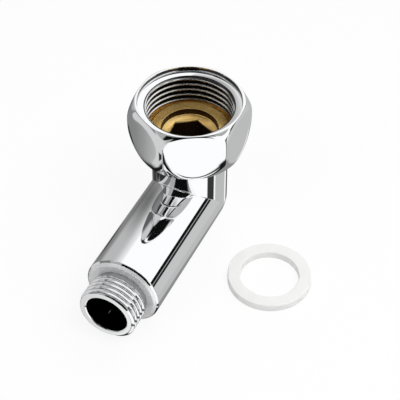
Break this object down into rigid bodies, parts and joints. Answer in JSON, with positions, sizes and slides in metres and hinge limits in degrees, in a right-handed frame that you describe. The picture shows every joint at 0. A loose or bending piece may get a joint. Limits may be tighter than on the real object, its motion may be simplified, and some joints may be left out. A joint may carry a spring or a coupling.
{
  "type": "towel rail angle connector",
  "caption": "Chrome right-angle pipe connector: a domed hexagon union nut with a female thread turns on the neck, a barrel leaves square to it and ends in a male thread, with a flat gasket.",
  "frame": {"origin": "centre of the gasket seat, the flat face of the retaining bush inside the union nut", "axes": "+Z along the union axis out of the nut's mouth, -Y along the barrel out of its male end, +X to the side where the gasket lies"},
  "size_m": [0.0732, 0.0877, 0.0573],
  "materials": {
    "chrome_plate": "polished chrome plate",
    "bare_brass": "turned, unplated",
    "gasket_white": "matt white elastomer"
  },
  "bodies": {
    "connector": {"angle_body": "chrome_plate", "retaining_bush": "bare_brass", "gasket": "gasket_white"},
    "nut": {"union_nut": "chrome_plate"}
  },
  "joints": [
    {"name": "nut_swivel", "type": "hinge", "parent": "connector", "child": "nut", "pos_m": [0, 0, 0], "axis": [0, 0, 1], "continuous": true}
  ]
}
